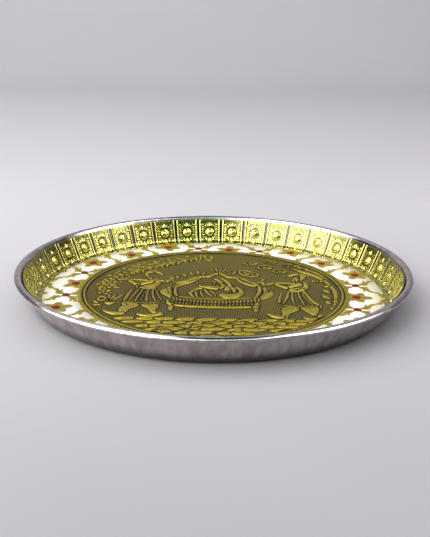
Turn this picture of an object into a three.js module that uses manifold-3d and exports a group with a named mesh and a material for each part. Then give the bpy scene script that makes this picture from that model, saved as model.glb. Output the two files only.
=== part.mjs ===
// Round steel serving tray with an enamelled, embossed lining. Millimetres, +Z up.
// The origin is the centre of the underside, on the table. +Y points to the top of the centre
// picture. The steel tray carries four loose layers: a floor sheet with a raised lattice, the
// white and red enamel between its raised lines, a pressed centre medallion and a pressed wall band.

import * as THREE from 'three';
import { mergeVertices } from 'three/addons/utils/BufferGeometryUtils.js';
import Module from 'manifold-3d';

const wasm = await Module();
wasm.setup();

// Steel tray
const trayDiameter = 300;
const trayHeight = 24.4;
const steelSheet = 0.8;
const wallLeanDegrees = 24;
const baseCornerRadius = 12;
const rimWidth = 5.4;
const rimHeight = 3.7;
const rimCurlEnd = 235;

// Lining
const fitGap = 0.3;
const floorSheet = 1.2;
const enamelDepth = 1;
const latticeProud = 0.3;
const latticeWidth = 26.5;
const toeLap = 1;
const medallionLap = 5;
const medallionSheet = 0.8;
const reliefHeight = 1.1;
const drawnRadius = 104;
const pictureTurn = 3;

// Lattice and its flowers
const latticePitch = 27.3;
const flowerRadius = 9.4;
const flowerWaist = 4.8;
const petalCount = 5;
const leafLength = 18;
const leafWidth = 5.2;
const dropRadius = 2.5;
const dropHeight = 0.7;

// Wall band
const bandSheet = 0.6;
const bandTopBelowRim = 2.4;
const bandCornerRadius = 5;
const panelCount = 42;
const ribWidth = 3;
const ribProud = 0.5;
const bossRadius = 3.5;
const bossHeight = 1.3;
const bossAboveTable = 12.2;

// How finely round shapes are cut into flats
const traySides = 56;
const liningSides = 48;
const curlSteps = 7;
const cornerSteps = 3;
const bandCornerSteps = 2;
const bossSides = 6;
const dropSides = 7;

const deg = Math.PI / 180;

// Levels and radii that follow from the sizes above
const floorTop = steelSheet + floorSheet;
const enamelTop = floorTop + enamelDepth;
const latticeTop = enamelTop + latticeProud;
const fieldTop = floorTop + medallionSheet;
const flangeTop = enamelTop + medallionSheet;

const steel = new THREE.MeshStandardMaterial({ color: 0xa09ca0, roughness: 0.3, metalness: 1 });
const gilt = new THREE.MeshStandardMaterial({ color: 0xb49a2e, roughness: 0.35, metalness: 0.9 });
const antique = new THREE.MeshStandardMaterial({ color: 0x8a7c34, roughness: 0.45, metalness: 0.8 });
const white = new THREE.MeshStandardMaterial({ color: 0xf4f0ee, roughness: 0.2, metalness: 0 });
const red = new THREE.MeshStandardMaterial({ color: 0x8c1a1c, roughness: 0.15, metalness: 0 });

// One closed skin: only positions, shared corners merged, faces that closed up on the axis left out
function weld(geometry) {
  geometry.deleteAttribute('normal');
  geometry.deleteAttribute('uv');
  const merged = mergeVertices(geometry, 1e-4);
  const corners = merged.index.array;
  const kept = [];
  for (let i = 0; i < corners.length; i += 3) {
    const [a, b, c] = corners.slice(i, i + 3);
    if (a !== b && b !== c && c !== a) kept.push(a, b, c);
  }
  merged.setIndex(kept);
  return merged;
}

function toSolid(geometry) {
  const skin = weld(geometry);
  return new wasm.Manifold(new wasm.Mesh({
    numProp: 3,
    vertProperties: new Float32Array(skin.attributes.position.array),
    triVerts: new Uint32Array(skin.index.array),
  }));
}

function toGeometry(solid) {
  const mesh = solid.getMesh();
  const geometry = new THREE.BufferGeometry();
  geometry.setAttribute('position', new THREE.BufferAttribute(new Float32Array(mesh.vertProperties), 3));
  geometry.setIndex([...mesh.triVerts]);
  return weld(geometry);
}

function joined(solids) {
  return solids.reduce((sum, solid) => sum.add(solid));
}

// A profile in radius and height, turned about the tray's axis
function turned(profile, sides) {
  const points = profile.map(([r, z]) => new THREE.Vector2(r, z));
  return new THREE.LatheGeometry(points, sides).rotateX(90 * deg);
}

function ring(inner, outer, low, high) {
  const profile = [[inner, low], [outer, low], [outer, high], [inner, high], [inner, low]];
  return toSolid(turned(profile, liningSides));
}

// A flat outline, raised from one level to another
function raised(points, low, high) {
  const shape = new THREE.Shape(points.map(([x, y]) => new THREE.Vector2(x, y)));
  const geometry = new THREE.ExtrudeGeometry(shape, { depth: high - low, bevelEnabled: false });
  return toSolid(geometry.translate(0, 0, low));
}

// A sheet's cross-section from its middle line: each point has a radius, a height and a unit
// normal to the sheet's outer face. Returns the outer face, then the inner face on the way back.
function sheetProfile(path, thickness) {
  const face = (side) => path.map(({ r, z, nr, nz }) => [
    Math.max(0, r + side * nr * thickness / 2), z + side * nz * thickness / 2]);
  return [...face(1), ...face(-1).reverse()];
}

function arcPath(centreR, centreZ, radius, from, to, steps) {
  return Array.from({ length: steps + 1 }, (_, i) => {
    const angle = from + (to - from) * i / steps;
    const [c, s] = [Math.cos(angle), Math.sin(angle)];
    return { r: centreR + radius * c, z: centreZ + radius * s, nr: c, nz: s };
  });
}

// Steel tray: one sheet, spun to a flat base, a round corner and a leaning wall, its edge rolled
// outward and down into a hollow rim that stays open underneath.
const rim = {
  r: trayDiameter / 2 - rimWidth / 2,
  z: trayHeight - rimHeight / 2,
  halfWidth: (rimWidth - steelSheet) / 2,
  halfHeight: (rimHeight - steelSheet) / 2,
};
const cornerMid = baseCornerRadius - steelSheet / 2;
const wallLean = wallLeanDegrees * deg;
const wallOut = { r: Math.cos(wallLean), z: -Math.sin(wallLean) };

// The curl starts where it runs parallel to the wall, and the base is as wide as leaves the wall
// to run from there into the round corner without a bend.
const curlStart = Math.atan2(Math.sin(wallLean) / rim.halfWidth, -Math.cos(wallLean) / rim.halfHeight);
const wallTop = {
  r: rim.r + rim.halfWidth * Math.cos(curlStart),
  z: rim.z + rim.halfHeight * Math.sin(curlStart),
};
const baseFlatRadius = wallTop.r
  - (cornerMid - (wallTop.z - baseCornerRadius) * wallOut.z) / wallOut.r;
const wallFoot = {
  r: baseFlatRadius + cornerMid * wallOut.r,
  z: baseCornerRadius + cornerMid * wallOut.z,
};

// The steel's upper face over the base corner, at a radius past the flat base
function steelTopAt(radius) {
  const past = Math.max(0, radius - baseFlatRadius);
  const inside = baseCornerRadius - steelSheet;
  return baseCornerRadius - Math.sqrt(inside * inside - past * past);
}

function steelPlate() {
  const curl = Array.from({ length: curlSteps + 1 }, (_, i) => {
    const end = (rimCurlEnd - 360) * deg;
    const angle = curlStart + (end - curlStart) * i / curlSteps;
    const [c, s] = [Math.cos(angle), Math.sin(angle)];
    const length = Math.hypot(c / rim.halfWidth, s / rim.halfHeight);
    return {
      r: rim.r + rim.halfWidth * c,
      z: rim.z + rim.halfHeight * s,
      nr: -c / rim.halfWidth / length,
      nz: -s / rim.halfHeight / length,
    };
  });
  const path = [
    { r: 0, z: steelSheet / 2, nr: 0, nz: -1 },
    ...arcPath(baseFlatRadius, baseCornerRadius, cornerMid, -90 * deg, -wallLean, cornerSteps),
    ...curl,
  ];
  return toSolid(turned(sheetProfile(path, steelSheet), traySides));
}

// The lining's flat layers end where the wall band's round corner starts. The band stands off the
// steel by its clearance and by what the flats of the steel's corner and round wall take away.
const cornerSag = baseCornerRadius * (1 - Math.cos((Math.PI / 2 - wallLean) / cornerSteps / 2));
const roundSag = trayDiameter / 2 * (1 - Math.cos(Math.PI / traySides));
const bandInset = steelSheet / 2 + cornerSag + roundSag + fitGap + bandSheet / 2;
const toeMid = enamelTop + bandSheet / 2;
const layerRadius = wallFoot.r
  - ((1 + wallOut.z) * bandCornerRadius + bandInset + (toeMid - wallFoot.z) * wallOut.z) / wallOut.r;
const layerFoot = Math.max(steelSheet, steelTopAt(layerRadius) + fitGap);
const ringRadius = layerRadius - toeLap;
const medallionRadius = ringRadius - latticeWidth;

// Lattice: a square grid over the floor. Every second point carries a flower, and the points
// between carry knots, from which leaves run along the diagonals to meet the next knot's leaves.
const gridReach = Math.ceil(ringRadius / latticePitch) + 1;
const gridPoints = [];
for (let row = -gridReach; row <= gridReach; row += 1) {
  for (let column = -gridReach; column <= gridReach; column += 1) {
    const [x, y] = [column * latticePitch, row * latticePitch];
    gridPoints.push({ x, y, radius: Math.hypot(x, y), flower: (row + column) % 2 === 0 });
  }
}
const inRing = ({ radius }) => radius > medallionRadius + dropRadius + fitGap
  && radius < ringRadius - dropRadius - fitGap;

// A flower's outline: broad petals with a notch between, grown all round by a clearance
function flowerOutline({ x, y }, grow) {
  const lead = Math.atan2(y, x);
  const points = [];
  for (let petal = 0; petal < petalCount; petal += 1) {
    const middle = lead + 2 * Math.PI * petal / petalCount;
    const spread = 0.3 * Math.PI / petalCount;
    const notch = flowerWaist / flowerRadius;
    for (const [turn, share] of [[-spread, 1], [spread, 1], [Math.PI / petalCount, notch]]) {
      const reach = flowerRadius * share + grow;
      points.push([x + reach * Math.cos(middle + turn), y + reach * Math.sin(middle + turn)]);
    }
  }
  return points;
}

// A leaf's outline along a diagonal from its knot: narrow at first, widest halfway, then pointed
function leafOutline({ x, y }, angle, grow) {
  const stations = [[0, 0.3], [leafLength / 2, 1]];
  const place = (along, across) => [
    x + along * Math.cos(angle) - across * Math.sin(angle),
    y + along * Math.sin(angle) + across * Math.cos(angle)];
  const side = (sign) => stations.map(([along, share]) => place(
    along, sign * (leafWidth / 2 * share + grow)));
  return [...side(-1), place(leafLength + grow, 0), ...side(1).reverse()];
}

// Everything that stands up through the enamel, between two radii and two levels
function latticeRelief(grow, inner, outer, low, high) {
  const solids = [];
  for (const point of gridPoints) {
    if (point.flower && inRing(point)) solids.push(raised(flowerOutline(point, grow), low, high));
    if (point.flower) continue;
    for (let quarter = 0; quarter < 4; quarter += 1) {
      const angle = (quarter + 0.5) * 90 * deg;
      const middle = Math.hypot(
        point.x + leafLength * 0.6 * Math.cos(angle), point.y + leafLength * 0.6 * Math.sin(angle));
      const seen = middle > medallionRadius + leafWidth / 2 && middle < ringRadius - leafWidth / 2;
      if (seen) solids.push(raised(leafOutline(point, angle, grow), low, high));
    }
    if (inRing(point)) {
      const knot = Array.from({ length: 8 }, (_, i) => [
        point.x + (dropRadius + 0.6 + grow) * Math.cos(i * 45 * deg),
        point.y + (dropRadius + 0.6 + grow) * Math.sin(i * 45 * deg)]);
      solids.push(raised(knot, low, high));
    }
  }
  return joined(solids).intersect(ring(inner, outer, low, high));
}

// The band has one flat side to each panel, so its toe comes inside its corners by this factor
const bandFlat = Math.cos(Math.PI / panelCount);

function floorSheetSolid() {
  const flat = Math.min(layerRadius, baseFlatRadius) - fitGap;
  const sheet = toSolid(turned([
    [0, steelSheet], [flat, steelSheet], [layerRadius, layerFoot], [layerRadius, floorTop], [0, floorTop],
  ], liningSides));
  const overlap = floorSheet / 4;
  return sheet.add(latticeRelief(
    0, medallionRadius + fitGap, ringRadius * bandFlat - fitGap, floorTop - overlap, latticeTop));
}

function whiteEnamel() {
  const whole = ring(medallionRadius - medallionLap + fitGap, layerRadius, floorTop, enamelTop);
  return whole.subtract(latticeRelief(
    fitGap, medallionRadius, ringRadius, floorTop - enamelDepth, enamelTop + enamelDepth));
}

// A red enamel drop: a shallow dome on the crown of each flower and knot
function redDrop() {
  const profile = [[0, 0], [dropRadius, 0], [dropRadius * 0.72, dropHeight * 0.75], [0, dropHeight]];
  return weld(turned(profile, dropSides));
}

// Centre medallion: a dished pressing whose flange laps over the enamel, with a raised border and
// a picture in low relief. Two bearers carry a covered litter with a seated rider over pebbles,
// between leafy stems. The picture is drawn upright, for a medallion of the drawn radius, and is
// scaled to the medallion's own radius and turned as a whole.
function stroke(points, widths) {
  const side = (sign) => points.map(([x, y], i) => {
    const [ax, ay] = points[Math.max(0, i - 1)];
    const [bx, by] = points[Math.min(points.length - 1, i + 1)];
    const length = Math.hypot(bx - ax, by - ay);
    const half = sign * widths[i] / 2;
    return [x - half * (by - ay) / length, y + half * (bx - ax) / length];
  });
  return [...side(-1), ...side(1).reverse()];
}

function oval(x, y, across, up, sides = 8) {
  return Array.from({ length: sides }, (_, i) => {
    const angle = 2 * Math.PI * i / sides;
    return [x + across * Math.cos(angle), y + up * Math.sin(angle)];
  });
}

function bearer(waistX, waistY) {
  const at = (points) => points.map(([x, y]) => [waistX + x, waistY + y]);
  return [
    oval(waistX + 2, waistY + 37, 4, 5),
    at(stroke([[-3, 41], [3, 44], [9, 40]], [3, 6, 3])),
    at(stroke([[2, 31], [0, 22], [1, 1]], [5, 12, 8])),
    at(stroke([[-4, 25], [-10, 8], [-21, 23]], [4.5, 4, 3])),
    at([[-4, 3], [6, 3], [13, -28], [0, -31], [-12, -29]]),
    at(stroke([[-6, -27], [-9, -38], [-12, -47]], [10, 9, 5])),
    at(stroke([[7, -27], [9, -38], [12, -49]], [10, 9, 5])),
    at(stroke([[-9, -48], [-16, -52], [-23, -49]], [6, 4, 1.5])),
    at(stroke([[14, -50], [7, -55], [0, -52]], [6, 4, 1.5])),
  ];
}

function litter() {
  const centre = 2;
  const mirror = (points) => points.map(([x, y]) => [2 * centre - x, y]).reverse();
  const eave = stroke([[centre, 43], [centre + 7, 34], [centre + 17, 28], [centre + 31, 11]], [2, 5, 6, 5]);
  const bolster = [[34, 10], [40, 4], [45, -4], [42, -13], [35, -18], [37, -6]];
  const foot = stroke([[33, -33], [35, -38], [34, -43]], [5, 4, 3]);
  return [
    eave, mirror(eave), bolster, mirror(bolster), foot, mirror(foot),
    stroke([[centre, 41], [centre, 50], [centre, 60]], [7, 5, 1]),
    stroke([[-33, -19], [37, -19]], [4, 4]),
    stroke([[-33, -32], [37, -32]], [4, 4]),
    stroke([[-78, 18], [-55, 17], [-29, 11]], [3, 3, 3]),
    stroke([[33, 11], [58, 19]], [3, 3]),
  ];
}

function rider() {
  return [
    oval(1, 21, 4, 4.5),
    stroke([[4, 27], [12, 14], [19, 1], [15, -10], [2, -16]], [4, 6, 9, 8, 3]),
    stroke([[2, 15], [4, 4], [2, -8]], [6, 9, 11]),
    stroke([[8, -11], [-5, -10], [-17, -14]], [9, 9, 5]),
    stroke([[0, 11], [-8, 4], [-15, 11]], [4, 3, 3]),
  ];
}

// A bowed stem inside the border, with leaves on its inner side
function leafyStem(from, to, leaves) {
  const radius = drawnRadius * 0.85;
  const point = (angle, r) => [r * Math.cos(angle * deg), r * Math.sin(angle * deg)];
  const stem = Array.from({ length: 7 }, (_, i) => point(from + (to - from) * i / 6, radius));
  const outlines = [stroke(stem, [2, 3, 3.5, 4, 3.5, 3, 1])];
  for (let i = 0; i < leaves; i += 1) {
    const angle = from + (to - from) * (i + 0.6) / leaves;
    const lean = Math.sign(to - from) * 5;
    outlines.push(stroke(
      [point(angle, radius), point(angle + lean * 0.6, radius - 6), point(angle + lean, radius - 11)],
      [1.5, 4.5, 0.8]));
  }
  return outlines;
}

// Rows of rounded pebbles under the bearers' feet, each row a strip with a scalloped upper edge
function pebbleRows() {
  const pebble = 11.5;
  const rowHeight = 6;
  const top = -60;
  const limit = drawnRadius * 0.86;
  const outlines = [];
  for (let row = 0; top - (row + 1) * rowHeight > -limit; row += 1) {
    const y = top - row * rowHeight;
    const half = Math.sqrt(limit * limit - (y - rowHeight) * (y - rowHeight));
    const count = Math.floor(2 * half / pebble);
    const start = -count * pebble / 2;
    const crest = [];
    for (let i = 0; i < count; i += 1) {
      crest.push([start + i * pebble, y - 4], [start + (i + 0.5) * pebble, y - 0.4]);
    }
    crest.push([start + count * pebble, y - 4]);
    outlines.push([[start, y - 5.2], [start + count * pebble, y - 5.2], ...crest.reverse()]);
  }
  return outlines;
}

function medallion() {
  const edge = medallionRadius;
  const inner = edge - medallionLap;
  const body = toSolid(turned([
    [0, floorTop], [inner, floorTop], [inner, enamelTop], [edge, enamelTop],
    [edge, flangeTop], [edge - 2, flangeTop + reliefHeight], [edge - 4, flangeTop],
    [inner - 3, flangeTop + reliefHeight], [inner - 5, fieldTop], [0, fieldTop],
  ], liningSides));
  const fans = [[26, 74], [39, 61], [50, 50]].map(([x, y]) => oval(x, y, 6, 6));
  const outlines = [
    ...litter(), ...rider(), ...bearer(-50, -4), ...bearer(65, -1), ...pebbleRows(), ...fans,
    ...leafyStem(200, 118, 7), ...leafyStem(-14, 56, 5),
  ];
  const overlap = medallionSheet / 4;
  const picture = joined(outlines.map((points) => raised(
    points, fieldTop - overlap, fieldTop + reliefHeight)));
  const fit = medallionRadius / drawnRadius;
  return body.add(picture.scale([fit, fit, 1]).rotate([0, 0, pictureTurn]));
}

// Wall band: a pressed strip that stands inside the leaning wall. Its toe laps over the enamel
// ring, a round corner lifts it to the wall, and ribs part it into panels, each with a boss.
const bandFoot = {
  r: layerRadius + bandCornerRadius * wallOut.r,
  z: toeMid + bandCornerRadius + bandCornerRadius * wallOut.z,
};

// A point of the band's middle line on its leaning stretch, at a height over the table
function bandAt(height) {
  return {
    r: bandFoot.r + (height - bandFoot.z) * Math.tan(wallLean), z: height, nr: wallOut.r, nz: wallOut.z,
  };
}
const bandPath = [
  { r: ringRadius, z: toeMid, nr: 0, nz: -1 },
  ...arcPath(
    layerRadius, toeMid + bandCornerRadius, bandCornerRadius, -90 * deg, -wallLean, bandCornerSteps),
  bandAt(trayHeight - bandTopBelowRim),
];

function wallBand() {
  const section = sheetProfile(bandPath, bandSheet);
  const strip = toSolid(turned([...section, section[0]], panelCount)).rotate([0, 0, 90]);
  const rib = bandPath.slice(1).map(({ r, z, nr, nz }) => [
    [r, z], [r - nr * (bandSheet / 2 + ribProud), z - nz * (bandSheet / 2 + ribProud)]]);
  const ribOutline = [...rib.map(([back]) => back), ...rib.map(([, front]) => front).reverse()];
  const additions = [];
  for (let panel = 0; panel < panelCount; panel += 1) {
    const turn = 360 * panel / panelCount;
    additions.push(raised(ribOutline, -ribWidth / 2, ribWidth / 2)
      .rotate([90, 0, 0])
      .rotate([0, 0, turn]));
    const seat = bandAt(bossAboveTable);
    const dome = toSolid(turned([
      [0, 0], [bossRadius, 0], [bossRadius * 0.6, bandSheet / 2 + bossHeight * 0.8],
      [0, bandSheet / 2 + bossHeight],
    ], bossSides));
    additions.push(dome
      .rotate([0, -90 + wallLean / deg, 0])
      .translate([seat.r * bandFlat, 0, seat.z])
      .rotate([0, 0, turn + 180 / panelCount]));
  }
  return strip.add(joined(additions));
}

// The tray, put together from the steel up
const tray = new THREE.Group();
tray.name = 'tray';

function place(name, geometry, material, x = 0, y = 0, z = 0) {
  geometry.computeVertexNormals();
  const mesh = new THREE.Mesh(geometry, material);
  mesh.name = name;
  mesh.position.set(x, y, z);
  tray.add(mesh);
}

place('steel_plate', toGeometry(steelPlate()), steel);
place('floor_sheet', toGeometry(floorSheetSolid()), gilt);
place('white_enamel', toGeometry(whiteEnamel()), white);
place('medallion', toGeometry(medallion()), antique);
place('wall_band', toGeometry(wallBand()), gilt);
gridPoints.filter(inRing).forEach(({ x, y }, i) => {
  place(`red_enamel_${String(i + 1).padStart(2, '0')}`, redDrop(), red, x, y, latticeTop);
});

export default tray;
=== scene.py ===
from math import atan2, ceil, copysign, cos, hypot, pi, radians, sin

import bmesh
import bpy
import numpy as np
from mathutils import Matrix, Vector


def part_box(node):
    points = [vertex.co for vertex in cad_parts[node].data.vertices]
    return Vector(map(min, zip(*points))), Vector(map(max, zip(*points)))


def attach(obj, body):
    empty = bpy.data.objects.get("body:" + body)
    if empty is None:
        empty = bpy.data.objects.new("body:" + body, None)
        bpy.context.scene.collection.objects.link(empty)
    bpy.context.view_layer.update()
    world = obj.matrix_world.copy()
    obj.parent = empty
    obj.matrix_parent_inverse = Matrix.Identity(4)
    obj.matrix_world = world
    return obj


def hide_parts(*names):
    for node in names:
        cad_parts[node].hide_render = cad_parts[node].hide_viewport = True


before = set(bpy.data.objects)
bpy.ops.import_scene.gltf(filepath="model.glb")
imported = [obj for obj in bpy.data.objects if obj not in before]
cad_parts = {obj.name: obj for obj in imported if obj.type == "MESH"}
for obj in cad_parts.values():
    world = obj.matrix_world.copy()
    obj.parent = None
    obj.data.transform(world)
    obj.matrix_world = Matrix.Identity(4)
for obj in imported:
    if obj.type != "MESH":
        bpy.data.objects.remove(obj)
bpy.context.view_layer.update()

# The view: the camera stands in front of the tray and a little above it, turned from the tray's own
# axes, with a long lens and a slight roll. Lengths are in millimetres all through this file.
view_turn = 6.8
view_tilt = 17.84
view_roll = 0.59
view_from = (0.9, -656.7, 232.2)
focal_share = 900 / 537
sensor_side = 36

camera = bpy.data.objects.new("camera", bpy.data.cameras.new("camera"))
bpy.context.scene.collection.objects.link(camera)
camera.data.sensor_width = sensor_side
camera.data.lens = sensor_side * focal_share
camera.data.clip_start = 0.05
camera.data.clip_end = 20
turned = Matrix.Rotation(radians(view_turn), 4, "Z")
camera.matrix_world = (
    turned
    @ Matrix.Translation(Vector(view_from) / 1000)
    @ Matrix.Rotation(radians(90 - view_tilt), 4, "X")
    @ Matrix.Rotation(radians(view_roll), 4, "Z")
)
bpy.context.scene.camera = camera


# The studio table: one sheet of matt pale lilac card that runs back flat and then sweeps up behind
# the tray. It isn't part of the tray, and it takes the tray's soft shadow. Its colour is painted
# darker towards the front, which is painted shade, under a faint random mottle.
class Wire:
    """An output in a material. Arithmetic on wires adds Math nodes, so shader maths reads as Python."""

    def __init__(self, tree, socket=None):
        self.tree = tree
        self.socket = socket

    def node(self, kind, settings=None, sockets=None, out=0):
        """A node of a kind, with its settings and then the values or wires of its sockets."""
        made = self.tree.nodes.new(kind)
        for name, value in (settings or {}).items():
            if name == "stops":
                while len(made.color_ramp.elements) < len(value):
                    made.color_ramp.elements.new(1)
                for element, (position, colour) in zip(made.color_ramp.elements, value):
                    element.position = position
                    element.color = (*colour, 1)
            else:
                setattr(made, name, value)
        for name, value in (sockets or {}).items():
            self.join(value, made.inputs[name])
        return Wire(self.tree, made.outputs[out])

    def join(self, value, target):
        if isinstance(value, Wire):
            self.tree.links.new(value.socket, target)
        elif isinstance(value, tuple) and target.type == "RGBA":
            target.default_value = (*value, 1)
        else:
            target.default_value = value

    def maths(self, operation, *values):
        return self.node("ShaderNodeMath", {"operation": operation}, dict(enumerate(values)))

    def __add__(self, other):
        return self.maths("ADD", self, other)

    __radd__ = __add__

    def __mul__(self, other):
        return self.maths("MULTIPLY", self, other)

    __rmul__ = __mul__

    def __sub__(self, other):
        return self.maths("SUBTRACT", self, other)

    def __rsub__(self, other):
        return self.maths("SUBTRACT", other, self)

    def ramp(self, low, high):
        """From 0 at low to 1 at high, smoothly."""
        limits = {"Value": self, "From Min": low, "From Max": high}
        return self.node("ShaderNodeMapRange", {"interpolation_type": "SMOOTHSTEP"}, limits)

    def mix(self, first, second, factor, blend="MIX"):
        """Two colours, mixed by a factor."""
        settings = {"data_type": "RGBA", "blend_type": blend}
        return self.node("ShaderNodeMix", settings, {0: factor, 6: first, 7: second}, 2)

    def noise(self, scale, detail=2, stretch=(1, 1, 1), roughness=0.5):
        """Grain over the piece's own place, with features 1 / scale millimetres long."""
        place = self.node("ShaderNodeTexCoord", out=3)
        stretched = self.node(
            "ShaderNodeVectorMath", {"operation": "MULTIPLY"},
            {0: place, 1: tuple(1000 * side for side in stretch)})
        return self.node("ShaderNodeTexNoise", {"noise_dimensions": "3D"}, {
            "Vector": stretched, "Scale": scale, "Detail": detail, "Roughness": roughness})

    def bump(self, height, depth, normal=None):
        """A bump of some depth in millimetres."""
        sockets = {"Height": height, "Distance": depth / 1000, "Strength": 1.0}
        if normal:
            sockets["Normal"] = normal
        return self.node("ShaderNodeBump", None, sockets)


def finish(name, **constants):
    """A new material, its Principled shader's node and a wire to build on."""
    material = bpy.data.materials.new(name)
    material.use_nodes = True
    tree = material.node_tree
    shader = next(node for node in tree.nodes if node.type == "BSDF_PRINCIPLED")
    for socket, value in constants.items():
        shader.inputs[socket.replace("_", " ")].default_value = value
    return material, shader, Wire(tree)


def tint(red, green, blue):
    """A colour as a photograph shows it, from 0 to 255, in Blender's linear numbers."""
    return tuple(((c / 255 + 0.055) / 1.055) ** 2.4 if c > 10 else c / 3295 for c in (red, green, blue))


def skin(name, points, faces, material, smooth=True):
    """An object from points in millimetres and faces, as lists or arrays."""
    mesh = bpy.data.meshes.new(name)
    mesh.from_pydata((np.asarray(points) / 1000).tolist(), [], np.asarray(faces).tolist())
    mesh.polygons.foreach_set("use_smooth", np.full(len(mesh.polygons), smooth))
    mesh.materials.append(material)
    made = bpy.data.objects.new(name, mesh)
    bpy.context.scene.collection.objects.link(made)
    return made


table_colour = tint(217, 214, 220)
table_front = -1600
table_back = 1300
table_half_width = 3000
sweep_radius = 500
sweep_top = 2600

card, card_shader, card_wire = finish("pale_card", Roughness=0.75)
card_y = card_wire.node("ShaderNodeSeparateXYZ", None, {0: card_wire.node("ShaderNodeTexCoord", out=3)}, 1)
# The card's colour darkens towards the front: painted shade.
card_wire.join(
    card_wire.mix(
        card_wire.mix(tint(132, 130, 135), tint(199, 196, 201), card_y.ramp(-0.6, 0.35)),
        tint(184, 182, 186), card_wire.noise(0.004) * 0.4),
    card_shader.inputs["Base Color"])
card_line = [(table_front, 0), (0, 0)]
for step in range(13):
    angle = radians(90 * step / 12)
    card_line.append((table_back + sweep_radius * sin(angle), sweep_radius * (1 - cos(angle))))
card_line.append((table_back + sweep_radius, sweep_top))
card_points = [(side * table_half_width, y, z) for y, z in card_line for side in (-1, 1)]
card_faces = [(2 * i, 2 * i + 1, 2 * i + 3, 2 * i + 2) for i in range(len(card_line) - 1)]
card_sheet = skin("table_card", card_points, card_faces, card)
card_sheet.matrix_world = turned


# The steel tray: one spun sheet with a flat base, a round corner and a leaning wall, whose edge is
# rolled outward and down into a hollow bead. Its wall is brushed round and its bead is polished.
tray_low, tray_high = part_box("steel_plate")
tray_radius = 500 * (tray_high.x - tray_low.x)
tray_height = 1000 * tray_high.z
steel_sheet = 0.8
wall_lean = radians(24)
corner_radius = 12
bead_width = 5.4
bead_height = 3.7
bead_end = 235
round_power = 2
flatter_power = 1.55
curl_steps = 40
round_steps = 288


def spin(name, profile, steps, material):
    """A closed profile of radius and height, turned about the tray's axis."""
    count = len(profile)
    angles = np.arange(steps) * 2 * pi / steps
    r, z = np.array(profile).T
    points = np.stack([
        np.outer(np.cos(angles), r), np.outer(np.sin(angles), r), np.tile(z, (steps, 1))], axis=-1)
    at, along = np.meshgrid(np.arange(steps), np.arange(count), indexing="ij")
    after, up = (at + 1) % steps, (along + 1) % count
    faces = np.stack([
        at * count + along, after * count + along, after * count + up, at * count + up], axis=-1)
    made = skin(name, points.reshape(-1, 3), faces.reshape(-1, 4), material)
    welded = bmesh.new()
    welded.from_mesh(made.data)
    bmesh.ops.remove_doubles(welded, verts=welded.verts, dist=1e-7)
    welded.to_mesh(made.data)
    welded.free()
    return made


def sheet_profile(path, thickness):
    """Both faces of a sheet, from points on its middle line that carry a unit normal."""
    def face(side):
        return [(r + side * nr * thickness / 2, z + side * nz * thickness / 2) for r, z, nr, nz in path]
    return face(1) + face(-1)[::-1]


def arc(centre, radius, start, end, steps):
    angles = [start + (end - start) * i / steps for i in range(steps + 1)]
    return [(centre[0] + radius * cos(a), centre[1] + radius * sin(a), cos(a), sin(a)) for a in angles]


bead = (tray_radius - bead_width / 2, tray_height - bead_height / 2)
bead_half = ((bead_width - steel_sheet) / 2, (bead_height - steel_sheet) / 2)
curl_start = atan2(sin(wall_lean) / bead_half[0], -cos(wall_lean) / bead_half[1])
wall_out = (cos(wall_lean), -sin(wall_lean))
wall_top = (bead[0] + bead_half[0] * cos(curl_start), bead[1] + bead_half[1] * sin(curl_start))
corner_mid = corner_radius - steel_sheet / 2
base_flat = wall_top[0] - (corner_mid - (wall_top[1] - corner_radius) * wall_out[1]) / wall_out[0]

# The bead is an oval that the tool left a little flatter on its outer upper quarter.
curl = []
for step in range(curl_steps + 1):
    angle = curl_start + (radians(bead_end - 360) - curl_start) * step / curl_steps
    out, up = cos(angle), sin(angle)
    power = flatter_power if out > 0 and up > 0 else round_power
    reach = (abs(out) ** power + abs(up) ** power) ** (-1 / power)
    slope_out = copysign(abs(out) ** (power - 1), out) / bead_half[0]
    slope_up = copysign(abs(up) ** (power - 1), up) / bead_half[1]
    steepness = hypot(slope_out, slope_up)
    curl.append((
        bead[0] + reach * bead_half[0] * out, bead[1] + reach * bead_half[1] * up,
        -slope_out / steepness, -slope_up / steepness))
steel_line = [(r, steel_sheet / 2, 0, -1) for r in (0, 40, 80, 110)]
steel_line += arc((base_flat, corner_radius), corner_mid, -pi / 2, -wall_lean, 14)
steel_line += curl

steel, steel_shader, wire = finish("brushed_steel", Metallic=1.0)
place = wire.node("ShaderNodeTexCoord", out=3)
height = wire.node("ShaderNodeSeparateXYZ", None, {0: place}, 2)
radius = wire.node("ShaderNodeVectorMath", {"operation": "LENGTH"}, {
    0: wire.node("ShaderNodeVectorMath", {"operation": "MULTIPLY"}, {0: place, 1: (1, 1, 0)})}, 1)
polished = height.ramp(0.0195, 0.0212) * radius.ramp(0.1425, 0.144)
lines = wire.noise(1.1, 3, (0.02, 0.02, 3.2))
spots = wire.noise(0.05, 3)
brushed = (1 - polished) * lines
# The lower outside corner of the wall is painted dark: a painted reflection of the contact shadow on the
# table under the tray, not a mark on the steel.
foot = (1 - height.ramp(0.0015, 0.012)) * radius.ramp(0.124, 0.13)
streaks = wire.noise(0.22, 3, (1, 1, 0.12))
worked = lines * 0.3 + spots * 0.2 + streaks.ramp(0.3, 0.7) * 0.5
sheen = wire.mix(tint(146, 135, 132), tint(214, 205, 203), worked)
wire.join(wire.mix(sheen, tint(38, 33, 33), foot * 0.94), steel_shader.inputs["Base Color"])
wire.join(0.15 - 0.05 * polished + 0.1 * brushed + 0.05 * spots, steel_shader.inputs["Roughness"])
wire.join(wire.bump(brushed, 0.05), steel_shader.inputs["Normal"])
steel_tray = spin("steel_tray", sheet_profile(steel_line, steel_sheet), round_steps, steel)
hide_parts("steel_plate")
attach(steel_tray, "root")


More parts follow.
